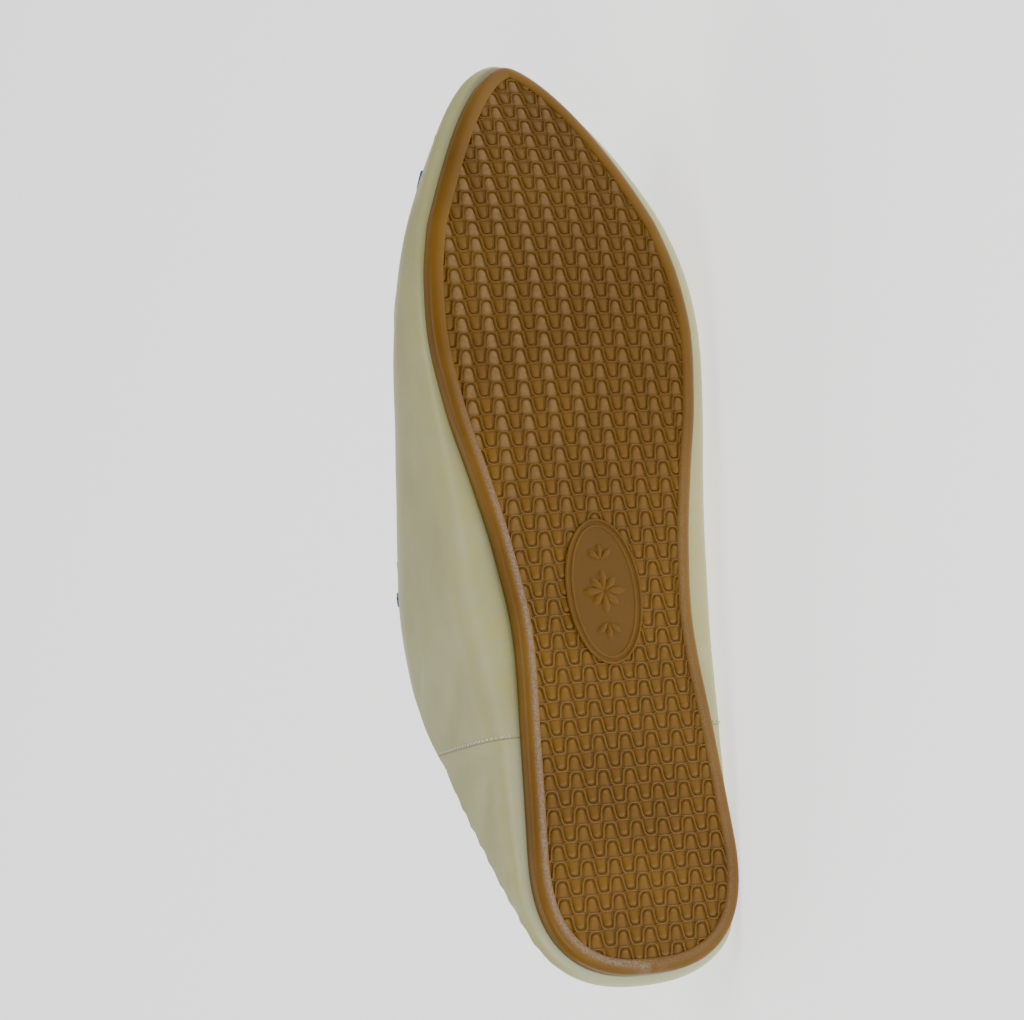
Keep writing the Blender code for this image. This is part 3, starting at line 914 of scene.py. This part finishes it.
# Places on the wearer's right, in millimetres.
#             fold                crest               vamp
TUCK_ROWS = (((30.4, 60.6, 46.4), (31.2, 61.9, 46.3), (31.6, 63.2, 45.4)),
             ((28.9, 60.5, 45.4), (29.9, 62.3, 45.2), (31.0, 64.2, 44.6)),
             ((28.0, 60.4, 42.4), (29.0, 62.6, 42.0), (30.9, 65.0, 41.0)),
             ((27.0, 60.3, 38.4), (28.2, 62.6, 38.0), (30.6, 65.0, 37.0)),
             ((25.8, 60.2, 34.0), (27.6, 62.4, 33.6), (30.2, 64.6, 33.0)))


def fold_tuck(side):
    """Small bent patch of leather at one end of the fold."""
    bm = bmesh.new()
    rows = [[bm.verts.new((side * x * MM, y * MM, z * MM)) for x, y, z in row] for row in TUCK_ROWS]
    join_rows(bm, rows, flip=side < 0)
    tuck = laid_down("fold_tuck_right" if side > 0 else "fold_tuck_left", bm)
    wall = tuck.modifiers.new("wall", "SOLIDIFY")
    wall.thickness = TUCK_THICK
    wall.offset = 0
    smooth = tuck.modifiers.new("smooth", "SUBSURF")
    smooth.levels = 3
    smooth.render_levels = 3
    return made_plain(tuck)


for side in (1, -1):
    tuck = fold_tuck(side)
    store_shoe_places(tuck)
    # The tucks have no lapped edge, so they are kept well behind it.
    tuck.data.attributes["past_seam"].data.foreach_set("value", [NO_LAP] * len(tuck.data.vertices))
    tuck.data.materials.append(cream)
    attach(tuck, "root")

# ---- side seam stitching -------------------------------------------
# The vamp is sewn over the back piece with short stitches of cream thread, close in front
# of its rear edge, from the sole up to the top line on both sides.
STITCH_LENGTH = 0.95 * MM
STITCH_PITCH = 1.75 * MM
THREAD_HALF = 0.31 * MM
STITCH_PROUD = 0.14 * MM
STITCH_AHEAD = 0.62
SEAM_REACH = (5.2, 44.0)
SEAM_STEP = 0.25
BESIDE_SHOE = 0.08
FLOOR_GAP = 0.05 * MM


def outer_surface(piece):
    """Search tree of a piece, on the standing slipper."""
    bm = bmesh.new()
    bm.from_mesh(piece.data)
    bm.transform(standing)
    bm.normal_update()
    tree = BVHTree.FromBMesh(bm)
    bm.free()
    return tree


leather = outer_surface(upper)


def stitch_unit():
    """One short stitch: a capsule along X, half sunk, with its faces in a set order."""
    bm = bmesh.new()
    bmesh.ops.create_uvsphere(bm, u_segments=8, v_segments=6, radius=1)
    bm.verts.index_update()
    halves = (STITCH_LENGTH / 2, THREAD_HALF, THREAD_HALF)
    points = [[part * half for part, half in zip(vertex.co, halves)] for vertex in bm.verts]
    faces = sorted([vertex.index for vertex in face.verts] for face in bm.faces)
    bm.free()
    mesh = bpy.data.meshes.new("stitch")
    mesh.from_pydata(points, [], faces)
    return put_in_scene("stitch", mesh)


def lift_off_floor(piece):
    """Keep every point of a piece just above the floor."""
    for vertex in piece.data.vertices:
        vertex.co.z = max(vertex.co.z, FLOOR_GAP)


def seam_places(side):
    """Places and turns of the stitches of one side seam."""
    line = []
    for height in np.arange(*SEAM_REACH, SEAM_STEP):
        along = seam_line(height) + STITCH_AHEAD
        start = Vector((side * BESIDE_SHOE, along * MM, height * MM))
        hit, normal = leather.ray_cast(start, Vector((-side, 0, 0)))[:2]
        if hit:
            line.append((hit, normal))
    places, turns = [], []
    run = 0.0
    for (here, normal), (after, unused) in zip(line, line[1:]):
        run += (after - here).length
        if run >= STITCH_PITCH:
            run -= STITCH_PITCH
            along_line = (after - here).normalized()
            beside = normal.cross(along_line).normalized()
            basis = Matrix((along_line, beside, normal)).transposed()
            places.append(shoe @ (here + normal * STITCH_PROUD))
            turns.append((lying @ basis).to_euler())
    return places, turns


THREAD_SHADE = (0.47, 0.45, 0.33)
THREAD_CREAM = (0.78, 0.77, 0.68)
twist = Finish("cream_thread")
ply = twist.node("TexWave", {"Vector": twist.places(), "Scale": 900, "Distortion": 1.5})
tone = twist.tones(ply.outputs["Fac"], (0, THREAD_SHADE), (1, THREAD_CREAM))
thread = twist.coat({"Base Color": tone, "Roughness": 0.7})
seam_spots, seam_turns = [], []
for side in (1, -1):
    spots, turns = seam_places(side)
    seam_spots += spots
    seam_turns += turns
seams = repeated("side_seam_stitches", seam_spots, seam_turns, stitch_unit(), thread, {})
lift_off_floor(seams)
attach(seams, "root")

# ---- embroidery ----------------------------------------------------
# Satin stitch in gold, red and blue thread, worked on the vamp before it is closed, the same
# on both sides of its centre line. Places are in millimetres: the distance from the heel,
# and the distance over the leather from the centre line.
SPRAY_LEAF_HALF = 2.15
CORD = 2.2
OUTLINE = 1.9
THIN_CORD = 1.8
SIDE_DRAW = 0.0044
VAMP_REACH = (110.4, 247.4)
SECTION_STEP = 1.6
MIDDLE_SHARE = 0.45
SOLE_MARGIN = 0.6 * MM
OVER_SHOE = 0.15


def vamp_sections():
    """Outer line of the vamp at even distances from the heel, measured both ways from its top."""
    sections = []
    for along in np.arange(*VAMP_REACH, SECTION_STEP):
        y = along * MM
        top = leather.ray_cast(Vector((0, y, OVER_SHOE)), Vector((0, 0, -1)))[0]
        low = tread_height(0, y) + SOLE_THICK
        middle = Vector((0, y, low + MIDDLE_SHARE * (top.z - low)))
        line = []
        for angle in np.radians(np.arange(-118, 119, 2.0)):
            way = Vector((math.sin(angle), 0, math.cos(angle)))
            hit = leather.ray_cast(middle + way * OVER_SHOE, -way)[0]
            if hit and hit.z > tread_height(hit.x, y) + SOLE_THICK + SOLE_MARGIN:
                line.append(hit)
        steps = [0.0] + [(b - a).length / MM for a, b in zip(line, line[1:])]
        runs = np.cumsum(steps)
        crown = min(range(len(line)), key=lambda k: abs(line[k].x))
        sections.append((along, runs - runs[crown], np.array(line)))
    return sections


sections = vamp_sections()
section_places = [section[0] for section in sections]


def on_vamp(along, across):
    """Point of the leather at a distance from the heel and a distance from the centre line."""
    across *= 1 - SIDE_DRAW * abs(across)
    after = clamp(int(np.searchsorted(section_places, along)), 1, len(sections) - 1)
    ends = []
    for place, runs, line in (sections[after - 1], sections[after]):
        reach = clamp(across, runs[0], runs[-1])
        ends.append([np.interp(reach, runs, line[:, axis]) for axis in range(3)])
    first, last = section_places[after - 1], section_places[after]
    return Vector(ends[0]).lerp(Vector(ends[1]), ramp(along, first, last))


def smooth_path(points, step=0.5):
    """Even points on a curve through the given ones."""
    padded = [points[0], *points, points[-1]]
    path = []
    for k in range(1, len(padded) - 2):
        a, b, c, d = (Vector(padded[k + j]) for j in (-1, 0, 1, 2))
        count = max(int((c - b).length / step), 1)
        for j in range(count):
            t = j / count
            path.append(0.5 * (2 * b + (c - a) * t + (2 * a - 5 * b + 4 * c - d) * t**2
                               + (3 * b - a - 3 * c + d) * t**3))
    path.append(Vector(points[-1]))
    return path


BAND_SUNK = 0.04
LEAST_HALF = 0.05
FULL_RISE_HALF = 0.7
# Cross sections of a band, as shares of its half width and of its rise.
ROUND_BAND = ((-1, 0), (-0.72, 0.72), (0, 1), (0.72, 0.72), (1, 0))
OUTLINED_BAND = ((-1, 0), (-0.78, 0.95), (-0.42, 0.50), (0, 0.72), (0.42, 0.50), (0.78, 0.95), (1, 0))
PARTED_BAND = ((-1, 0), (-0.78, 0.72), (-0.40, 1), (0, 0.50), (0.40, 1), (0.78, 0.72), (1, 0))


class Stitching:
    """Bands of satin stitch in one thread, gathered into one mesh."""

    def __init__(self):
        self.points, self.faces, self.places = [], [], []

    def band(self, path, half_at, rise, profile=ROUND_BAND):
        """Band along a path; half_at gives its half width at each share of the path."""
        middle = [on_vamp(*place) for place in path]
        runs = np.cumsum([0.0] + [(b - a).length / MM for a, b in zip(middle, middle[1:])])
        start = len(self.points)
        for k, here in enumerate(middle):
            onward = middle[min(k + 1, len(middle) - 1)] - middle[max(k - 1, 0)]
            normal = leather.find_nearest(here)[1]
            beside = normal.cross(onward).normalized()
            half = half_at(runs[k] / runs[-1])
            lift = rise * min(half / FULL_RISE_HALF, 1)
            for share, height in profile:
                on_leather = leather.find_nearest(here + beside * share * half * MM)[0]
                self.points.append(on_leather + normal * (lift * height - BAND_SUNK) * MM)
                self.places.append((runs[k], share * half))
        wide = len(profile)
        for k in range(len(middle) - 1):
            for j in range(wide - 1):
                a = start + k * wide + j
                self.faces.append((a, a + wide, a + wide + 1, a + 1))

    def cord(self, points, width=CORD, rise=0.75):
        """Cord of even width through the points, narrowing at both ends."""
        self.band(smooth_path(points), lambda t: width / 2 * min(1, 0.35 + 5 * t, 0.35 + 5 * (1 - t)), rise)

    def fill(self, points, half, fullest=0.62, rise=0.6, profile=ROUND_BAND):
        """Leaf or drop through the points, widest at a share of its length."""
        power = math.log(0.5) / math.log(fullest)
        path = smooth_path(points)
        self.band(path, lambda t: half * max(math.sin(math.pi * t**power), 0)**0.62 + LEAST_HALF,
                  rise, profile)

    def mesh(self, name, finish):
        """Finished piece, never lower than the floor."""
        bm = bmesh.new()
        made = [bm.verts.new(point) for point in self.points]
        sheet = bm.loops.layers.uv.new("stitches")
        for corners in self.faces:
            face = bm.faces.new([made[k] for k in corners])
            for loop, k in zip(face.loops, corners):
                loop[sheet].uv = self.places[k]
        piece = laid_down(name, bm)
        lift_off_floor(piece)
        piece.data.materials.append(finish)
        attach(piece, "root")


threads = {"gold": Stitching(), "red": Stitching(), "blue": Stitching()}


def outlined_petal(colour, base, tip, gold_half, satin_half):
    """Satin petal in a gold outline that comes to a point."""
    base, tip = Vector(base), Vector(tip)
    onward = tip - base
    beside = Vector((-onward.y, onward.x)).normalized()
    middle = [base + onward * share for share in (0.05, 0.3, 0.6, 0.86)]
    threads[colour].fill(middle, satin_half, 0.62, 0.75, PARTED_BAND)
    # Shares of the petal's length and of its half width.
    outline = ((0.00, 0.12), (0.18, 0.52), (0.42, 0.92), (0.66, 1.00), (0.86, 0.62), (1.00, 0.00))
    for side in (1, -1):
        line = [base + onward * along + beside * side * out * gold_half for along, out in outline]
        threads["gold"].cord(line, OUTLINE)


def flower_heart(rear, centre, front, ring_half, half):
    """Red heart of a flower in a ring of gold cord."""
    turns = np.linspace(0, 2 * math.pi, 13)
    ring = [(centre + ring_half * math.cos(turn), ring_half * math.sin(turn)) for turn in turns]
    threads["gold"].cord(ring, 1.2)
    threads["red"].fill([(rear, 0), (centre, 0), (front, 0)], half, 0.5, 0.9)


def spray(roots, heads):
    """Overlapping gold leaves between matching rows of roots and heads."""
    for root, head in zip(roots, heads):
        root, head = Vector(root), Vector(head)
        lean = Vector((-(head - root).y, (head - root).x)) * 0.10
        middle = (root + head) / 2 + lean
        threads["gold"].fill([root, middle, head], SPRAY_LEAF_HALF, 0.70, 0.85, OUTLINED_BAND)


# The flower over the toe.
outlined_petal("red", (212.6, 0), (191.6, 0), 4.9, 3.5)
outlined_petal("blue", (219.6, 0), (234.2, 0), 4.4, 3.0)
flower_heart(213.9, 216, 218.2, 2.9, 2.2)
threads["red"].fill([(236.6, 0), (240, 0), (245.2, 0)], 2.2, 0.70)
# The flower before the throat.
outlined_petal("red", (143.8, 0), (160.2, 0), 4.2, 2.8)
outlined_petal("blue", (137.6, 0), (123.6, 0), 4.2, 2.8)
flower_heart(138.7, 140.7, 142.7, 2.6, 2.0)


def one_side(side):
    """Everything that is worked on one side of the centre line."""
    def at(*places):
        return [(along, side * across) for along, across in places]

    outlined_petal("blue", *at((213.8, 2.4), (205.3, 14.6)), 3.2, 2.1)
    outlined_petal("red", *at((218.2, 2.8), (221.6, 16.2)), 3.2, 2.1)
    gold, red, blue = threads["gold"], threads["red"], threads["blue"]
    # Leafy spray towards the sole, its curls and the garland below it.
    spray(at((206.5, 5.8), (202.5, 9.0), (199.2, 13.4), (197.0, 18.2), (195.4, 23.2),
             (194.3, 28.4), (193.4, 34.0), (192.4, 40.0)),
          at((196.2, 6.6), (192.4, 11.2), (189.6, 16.8), (187.6, 23.0), (186.4, 29.4),
             (185.6, 36.0), (185.2, 42.8), (184.6, 49.6)))
    gold.cord(at((213.0, 2.2), (208.5, 5.3), (203.3, 9.4), (198.6, 15.2), (195.7, 22.0),
                 (194.0, 29.0), (193.0, 36.0), (192.2, 42.5), (189.5, 49.5)))
    gold.cord(at((193.4, 37.0), (192.6, 44.0), (188.6, 49.6), (183.0, 52.6), (178.4, 51.0),
                 (178.0, 47.2), (181.0, 46.2)), THIN_CORD)
    gold.cord(at((194.6, 36.0), (195.4, 41.4), (198.4, 44.0), (201.8, 42.8),
                 (202.2, 39.6), (199.6, 39.0)), THIN_CORD)
    gold.cord(at((195.6, 22.6), (196.6, 28.8), (199.6, 31.0), (202.4, 28.8), (202.4, 24.8),
                 (199.6, 22.8), (197.6, 24.6), (198.8, 26.6)))
    gold.cord(at((217.4, 15.2), (213.6, 19.2), (209.0, 22.2), (204.8, 22.4), (202.6, 19.4),
                 (203.8, 16.2), (207.0, 15.8), (208.8, 18.2), (207.2, 19.8)))
    spray(at((215.6, 19.4), (212.4, 21.6), (209.0, 24.4), (205.6, 27.2), (202.0, 29.6), (198.4, 31.6)),
          at((216.8, 27.6), (214.0, 30.2), (210.4, 32.8), (206.8, 35.4), (202.8, 38.0), (198.6, 40.4)))
    gold.cord(at((197.4, 31.4), (204.0, 28.2), (210.8, 22.6), (216.2, 19.0), (221.4, 18.0), (225.2, 19.8),
                 (226.0, 23.8), (223.4, 26.8), (220.2, 25.6), (220.2, 22.8), (222.6, 22.4)))
    red.fill(at((201.6, 22.6), (200.6, 18.6), (201.6, 14.8), (204.6, 12.2)), 2.0, 0.74)
    # Drops along the sole.
    blue.fill(at((211.8, 33.6), (215.4, 35.2), (219.6, 38.4)), 2.3, 0.68)
    blue.fill(at((211.2, 34.2), (207.6, 35.4), (205.8, 38.2), (207.2, 41.2)), 2.4, 0.72)
    red.fill(at((192.2, 42.8), (192.3, 46.0), (192.8, 49.8)), 2.3, 0.70)
    red.fill(at((226.6, 20.4), (228.6, 22.6), (231.0, 24.8)), 2.3, 0.70)
    # Scrolls round the toe.
    blue.fill(at((234.4, 12.0), (230.8, 15.6), (226.8, 17.6), (222.6, 18.4)), 2.9, 0.62)
    gold.cord(at((220.6, 6.6), (225.6, 8.0), (231.4, 7.0), (236.4, 4.2), (240.6, 3.4), (243.4, 5.6),
                 (242.2, 8.4), (239.4, 7.8)))
    gold.cord(at((225.2, 17.8), (230.2, 19.4), (234.8, 17.4), (237.6, 13.4), (236.4, 10.2), (233.8, 11.0)))
    # Spray and drops towards the throat edge.
    outlined_petal("blue", *at((142.6, 2.6), (151.4, 9.4)), 2.9, 1.8)
    spray(at((141.6, 5.6), (140.2, 9.0), (137.6, 13.0), (134.2, 17.4), (130.0, 22.0),
             (125.4, 26.8), (120.6, 31.6)),
          at((148.6, 11.8), (149.0, 16.4), (146.4, 20.6), (143.2, 25.0), (139.0, 29.6),
             (134.0, 34.2), (128.6, 38.8)))
    gold.cord(at((140.4, 3.2), (139.8, 8.6), (136.0, 14.6), (130.4, 21.0), (124.0, 27.6),
                 (117.6, 34.0), (112.6, 39.6)))
    gold.cord(at((134.6, 14.4), (130.0, 13.0), (127.0, 15.8), (128.6, 19.0), (131.2, 17.6)), 1.7)
    gold.cord(at((122.8, 26.0), (117.8, 24.6), (114.6, 27.8), (116.4, 31.2), (119.2, 29.6)), 1.7)
    red.fill(at((131.6, 6.8), (127.4, 7.8), (123.4, 10.6)), 1.8, 0.70)
    blue.fill(at((111.4, 43.6), (109.6, 48.6), (110.0, 54.4)), 2.3, 0.70)
    red.fill(at((119.0, 38.8), (119.6, 41.6), (121.2, 44.6)), 2.0, 0.70)


for side in (1, -1):
    one_side(side)

THREAD_PITCH = 0.8
THREAD_SLANT = 0.45


def satin(name, groove_shade, bright, glint, metal):
    """Satin stitch: fine threads across the band, with painted shade in the grooves between them and
    painted glints scattered by noise.
    """
    silk = Finish(name)
    stitches = silk.node("UVMap", {})
    stitches.uv_map = "stitches"
    sheet = stitches.outputs["UV"]
    split = silk.node("SeparateXYZ", {"Vector": sheet}).outputs
    slant = silk.maths("MULTIPLY_ADD", silk.maths("ABSOLUTE", split["Y"]), THREAD_SLANT, split["X"])
    wave = silk.maths("SINE", silk.maths("MULTIPLY", slant, 2 * math.pi / THREAD_PITCH))
    # The thread stripes paint shade into the grooves, and the noise paints glints.
    blend = silk.maths("MULTIPLY_ADD", wave, 0.16, silk.noise(sheet, 1.7, 3))
    tone = silk.tones(blend, (0.32, groove_shade), (0.50, bright), (0.64, bright), (0.72, glint))
    return silk.coat({"Base Color": tone,
                      "Normal": silk.relief(wave, 0.7, 0.00012),
                      "Roughness": 0.45,
                      "Specular IOR Level": 0.25,
                      "Metallic": metal})


gold_thread = satin("gold_thread", (0.20, 0.155, 0.001), (0.40, 0.36, 0.002), (0.90, 0.93, 0.26), 0.2)
red_thread = satin("red_thread", (0.24, 0.003, 0.012), (0.42, 0.008, 0.022), (0.70, 0.08, 0.10), 0.0)
blue_thread = satin("blue_thread", (0.008, 0.075, 0.15), (0.020, 0.17, 0.31), (0.10, 0.34, 0.54), 0.0)
threads["gold"].mesh("gold_embroidery", gold_thread)
threads["red"].mesh("red_embroidery", red_thread)
threads["blue"].mesh("blue_embroidery", blue_thread)

# ---- insole --------------------------------------------------------
# A padded sock of tan woven stuff over foam, glued on the outsole. Its soft rolled edge
# covers the turned-in margin of the upper.

# Inset and height above the tread in millimetres, from the lower side over the edge to the top.
SOCK_RINGS = ((3.4, 4.8), (3.4, 6.5), (1.9, 7.1), (1.5, 7.6),
              (2.0, 8.1), (3.2, 8.2), (6.0, 7.8), (10.0, 7.5))
DARK_TAN = (0.33, 0.26, 0.15)
LIGHT_TAN = (0.46, 0.38, 0.24)
sock_rings = [(inset * MM, height * MM) for inset, height in SOCK_RINGS]
sock = layered("padded_sock", sock_rings, count=72, floor_rows=6)
cloth = Finish("tan_sock")
ribs = cloth.node("TexWave", {"Vector": cloth.places(), "Scale": 420, "Distortion": 0.6})
weave = ribs.outputs["Fac"]
woven = cloth.coat({"Base Color": cloth.tones(weave, (0, DARK_TAN), (1, LIGHT_TAN)),
                    "Normal": cloth.relief(weave, 0.3, 0.0002),
                    "Roughness": 0.75})
sock.data.materials.append(woven)
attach(sock, "root")
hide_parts("insole")

# ---- floor and light -----------------------------------------------
# A plain pale floor, and soft studio light: a small lamp before the tread, a large one
# overhead and a faint one behind.
FLOOR_HALF = 12
LIT_POINT = Vector((0, 0, 0.04))
floor_bm = bmesh.new()
bmesh.ops.create_grid(floor_bm, x_segments=1, y_segments=1, size=FLOOR_HALF)
floor = put_in_scene("floor", mesh_of("floor", floor_bm))
pale_floor = Finish("pale_floor").coat({"Base Color": (0.90, 0.90, 0.89),
                                        "Roughness": 0.9,
                                        "Emission Color": (1.0, 1.0, 1.0),
                                        "Emission Strength": 1.05})
floor.data.materials.append(pale_floor)

world = bpy.data.worlds.new("studio")
bpy.context.scene.world = world
world.use_nodes = True
background = world.node_tree.nodes["Background"]
background.inputs["Color"].default_value = (1.0, 1.0, 1.0, 1)
background.inputs["Strength"].default_value = 0.38


def soft_light(name, at, power, size):
    """Square area light aimed at the slipper."""
    lamp = bpy.data.lights.new(name, "AREA")
    lamp.energy = power
    lamp.size = size
    made = put_in_scene(name, lamp)
    made.location = at
    made.rotation_euler = (LIT_POINT - Vector(at)).to_track_quat("-Z", "Y").to_euler()


soft_light("key", shoe @ Vector((0.45, -0.45, -0.70)), power=3, size=0.35)
soft_light("overhead", (0.3, 0.2, 1.7), power=12, size=1.0)
soft_light("back_fill", (-1.0, -0.4, 1.0), power=4, size=0.9)
